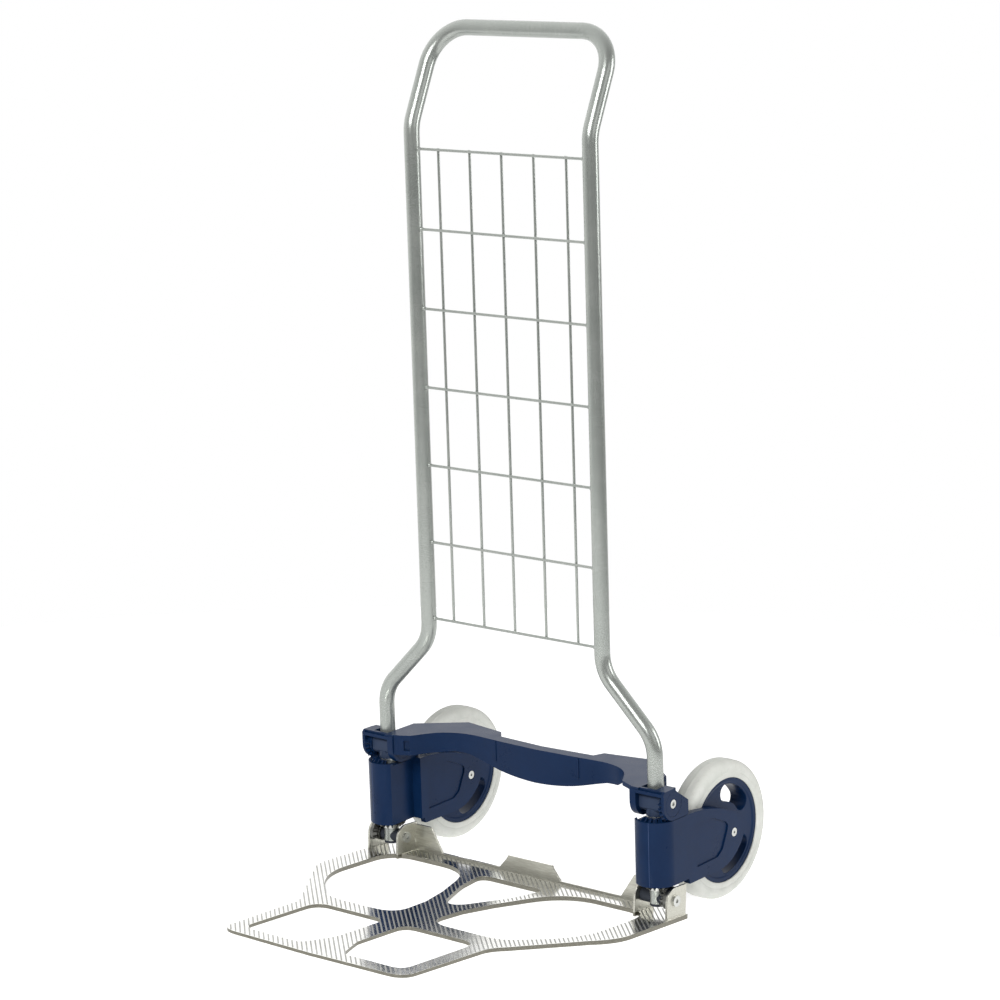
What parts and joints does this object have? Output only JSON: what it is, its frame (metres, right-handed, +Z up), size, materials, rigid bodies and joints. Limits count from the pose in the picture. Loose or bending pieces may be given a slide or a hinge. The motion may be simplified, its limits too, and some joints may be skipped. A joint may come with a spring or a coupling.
{
  "type": "folding luggage cart",
  "caption": "Folding two-wheeled luggage cart with bent-tube frame, wire mesh, swivelling wheel forks, tilting crossbar and flat toe plate.",
  "frame": {"origin": "on the floor, midway between the feet, where the plane of the tubes meets the floor", "axes": "+X to the cart's own left-to-right, +Y backwards to the wheels, +Z up"},
  "size_m": [0.494, 0.612, 1.0892],
  "materials": {
    "frame_paint": "satin silver-grey powder coat",
    "blue_plastic": "dark blue moulded plastic, fine texture",
    "collar_plastic": "grey-blue moulded plastic",
    "bush_plastic": "natural plain bearing plastic",
    "zinc": "zinc plated steel",
    "toe_aluminium": "polished aluminium, ribbed top",
    "tyre": "light grey soft tyre"
  },
  "bodies": {
    "frame": {"frame_tube": "frame_paint", "mesh_horizontal_wires": "frame_paint", "mesh_vertical_wires": "frame_paint", "wire_welds": "frame_paint", "foot_block_left": "collar_plastic", "foot_block_right": "collar_plastic", "foot_pin_left": "zinc", "foot_pin_right": "zinc", "crossbar_collar_left": "collar_plastic", "crossbar_collar_right": "collar_plastic", "pivot_disc_left": "blue_plastic", "pivot_disc_right": "blue_plastic", "crossbar_screw_left": "zinc", "crossbar_screw_right": "zinc", "thrust_washer_left": "zinc", "thrust_washer_right": "zinc"},
    "crossbar": {"crossbar": "blue_plastic"},
    "toe_plate": {"toe_plate": "toe_aluminium", "toe_gear_left": "zinc", "toe_gear_right": "zinc", "toe_bolts_left": "zinc", "toe_bolts_right": "zinc"},
    "fork_left": {"fork_left": "blue_plastic", "sleeve_gear_left": "zinc", "axle_left": "zinc", "axle_screws_left": "zinc", "spacers_left": "zinc"},
    "fork_right": {"fork_right": "blue_plastic", "sleeve_gear_right": "zinc", "axle_right": "zinc", "axle_screws_right": "zinc", "spacers_right": "zinc"},
    "wheel_left": {"hub_left": "blue_plastic", "tyre_left": "tyre", "bearings_left": "bush_plastic"},
    "wheel_right": {"hub_right": "blue_plastic", "tyre_right": "tyre", "bearings_right": "bush_plastic"}
  },
  "joints": [
    {"name": "toe_fold", "type": "hinge", "parent": "frame", "child": "toe_plate", "pos_m": [0, -0.00189, 0.027], "axis": [-1, 0, 0], "range_deg": [0, 86]},
    {"name": "crossbar_fold", "type": "hinge", "parent": "frame", "child": "crossbar", "pos_m": [0, -0.01053, 0.15063], "axis": [1, 0, 0], "range_deg": [0, 86]},
    {"name": "fork_swing_left", "type": "hinge", "parent": "frame", "child": "fork_left", "pos_m": [-0.217, 0, 0], "axis": [0, 0.0698, -0.9976], "range_deg": [0, 86]},
    {"name": "fork_swing_right", "type": "hinge", "parent": "frame", "child": "fork_right", "pos_m": [0.217, 0, 0], "axis": [0, -0.0698, 0.9976], "range_deg": [0, 86]},
    {"name": "wheel_spin_left", "type": "hinge", "parent": "fork_left", "child": "wheel_left", "pos_m": [-0.215, 0.12109, 0.089], "axis": [1, 0, 0], "continuous": true},
    {"name": "wheel_spin_right", "type": "hinge", "parent": "fork_right", "child": "wheel_right", "pos_m": [0.215, 0.12109, 0.089], "axis": [1, 0, 0], "continuous": true}
  ],
  "couplings": [
    {"joint": "crossbar_fold", "follows": "toe_fold", "ratio": 1},
    {"joint": "fork_swing_left", "follows": "toe_fold", "ratio": 1},
    {"joint": "fork_swing_right", "follows": "toe_fold", "ratio": 1}
  ]
}
